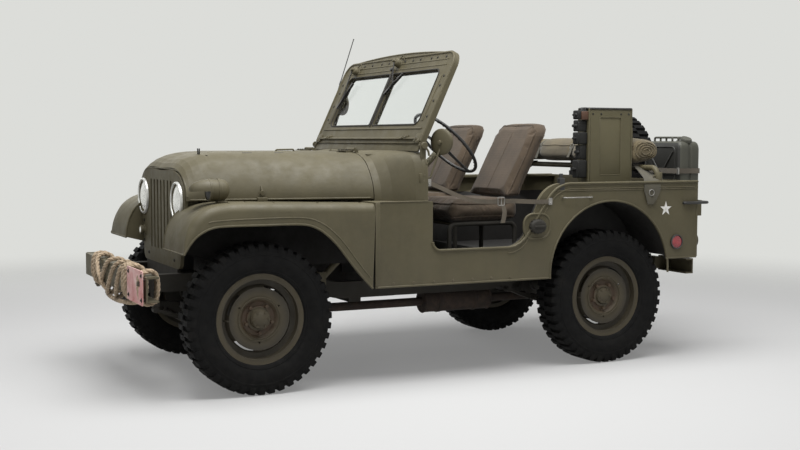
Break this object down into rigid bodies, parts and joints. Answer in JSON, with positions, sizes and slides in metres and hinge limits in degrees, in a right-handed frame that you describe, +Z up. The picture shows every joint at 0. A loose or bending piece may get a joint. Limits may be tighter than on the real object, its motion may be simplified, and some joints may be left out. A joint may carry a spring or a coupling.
{
  "type": "military 4x4 car",
  "caption": "Open unarmed military 4x4 car with slotted front panel, lifting hood, folding windshield, steered front wheels, rear spare wheel, fuel can and tow rope.",
  "frame": {"origin": "on the ground at the centre of the overall length and width", "axes": "+X forward, +Y to the car's left, +Z up"},
  "size_m": [3.471, 1.5872, 1.8907],
  "materials": {
    "body_paint": "matte",
    "frame_paint": "matte",
    "tyre_rubber": "matte",
    "iron": "matte",
    "rusty_steel": "rough",
    "black_steel": "satin",
    "clear_glass": "gloss",
    "lamp_glass": "gloss",
    "seat_canvas": "matte",
    "tan_canvas": "matte",
    "rope_fibre": "matte",
    "grip_black": "satin",
    "grey_green": "satin"
  },
  "bodies": {
    "car": {"antenna": "black_steel", "blackout_lamp": "body_paint", "body_floor": "body_paint", "body_side_left": "body_paint", "body_side_right": "body_paint", "canvas_roll": "tan_canvas", "cowl": "body_paint", "dashboard": "body_paint", "engine_block": "iron", "equipment_rack": "grey_green", "exhaust": "rusty_steel", "fender_left": "body_paint", "fender_right": "body_paint", "frame_members": "frame_paint", "frame_rails": "frame_paint", "front_axle": "iron", "front_bumper": "body_paint", "fuel_can": "body_paint", "gearbox": "iron", "grille": "body_paint", "headlamp_lenses": "lamp_glass", "headlamps": "body_paint", "leaf_springs": "frame_paint", "marker_lamps": "body_paint", "mirrors": "body_paint", "propeller_shafts": "iron", "radiator": "black_steel", "radio_cabinet": "body_paint", "rear_axle": "iron", "rear_bumperettes": "body_paint", "rear_carriers": "body_paint", "rear_panel": "body_paint", "seat_frames": "body_paint", "seat_pads": "seat_canvas", "spare_tyre": "tyre_rubber", "spare_wheel": "body_paint", "steering_column": "body_paint", "top_bow": "body_paint", "tow_rope": "rope_fibre"},
    "hood": {"hood": "body_paint"},
    "windshield": {"windshield_frame": "body_paint", "windshield_glass": "clear_glass", "wipers": "black_steel"},
    "steering_wheel": {"steering_wheel": "grip_black"},
    "knuckle_left": {"knuckle_left": "iron"},
    "knuckle_right": {"knuckle_right": "iron"},
    "tie_rod": {"tie_rod": "frame_paint"},
    "wheel_front_left": {"tyre_front_left": "tyre_rubber", "wheel_front_left": "body_paint"},
    "wheel_front_right": {"tyre_front_right": "tyre_rubber", "wheel_front_right": "body_paint"},
    "wheel_rear_left": {"tyre_rear_left": "tyre_rubber", "wheel_rear_left": "body_paint"},
    "wheel_rear_right": {"tyre_rear_right": "tyre_rubber", "wheel_rear_right": "body_paint"}
  },
  "joints": [
    {"name": "steer_left", "type": "hinge", "parent": "car", "child": "knuckle_left", "pos_m": [1.15405, 0.52, 0.375], "axis": [0, 0, 1], "range_deg": [-25, 25]},
    {"name": "steer_right", "type": "hinge", "parent": "car", "child": "knuckle_right", "pos_m": [1.15405, -0.52, 0.375], "axis": [0, 0, 1], "range_deg": [-25, 25]},
    {"name": "spin_front_left", "type": "hinge", "parent": "knuckle_left", "child": "wheel_front_left", "pos_m": [1.15405, 0.624, 0.375], "axis": [0, 1, 0], "continuous": true},
    {"name": "spin_rear_left", "type": "hinge", "parent": "car", "child": "wheel_rear_left", "pos_m": [-0.90295, 0.624, 0.375], "axis": [0, 1, 0], "continuous": true},
    {"name": "spin_front_right", "type": "hinge", "parent": "knuckle_right", "child": "wheel_front_right", "pos_m": [1.15405, -0.624, 0.375], "axis": [0, 1, 0], "continuous": true},
    {"name": "spin_rear_right", "type": "hinge", "parent": "car", "child": "wheel_rear_right", "pos_m": [-0.90295, -0.624, 0.375], "axis": [0, 1, 0], "continuous": true},
    {"name": "tie_rod_pivot", "type": "hinge", "parent": "knuckle_left", "child": "tie_rod", "pos_m": [1.30405, 0.52, 0.2687], "axis": [0, 0, 1], "range_deg": [-25, 25]},
    {"name": "steering_wheel_turn", "type": "hinge", "parent": "car", "child": "steering_wheel", "pos_m": [-0.03798, 0.3728, 1.236], "axis": [-0.7193, 0, 0.6947], "range_deg": [-350, 350]},
    {"name": "hood_hinge", "type": "hinge", "parent": "car", "child": "hood", "pos_m": [0.50104, 0, 1.203], "axis": [0, -1, 0], "range_deg": [0, 75]},
    {"name": "windshield_hinge", "type": "hinge", "parent": "car", "child": "windshield", "pos_m": [0.28209, 0, 1.226], "axis": [0, -1, 0], "range_deg": [-110, 0]}
  ],
  "couplings": [
    {"joint": "steer_right", "follows": "steer_left", "ratio": 1},
    {"joint": "tie_rod_pivot", "follows": "steer_left", "ratio": -1},
    {"joint": "steering_wheel_turn", "follows": "steer_left", "ratio": 14}
  ]
}
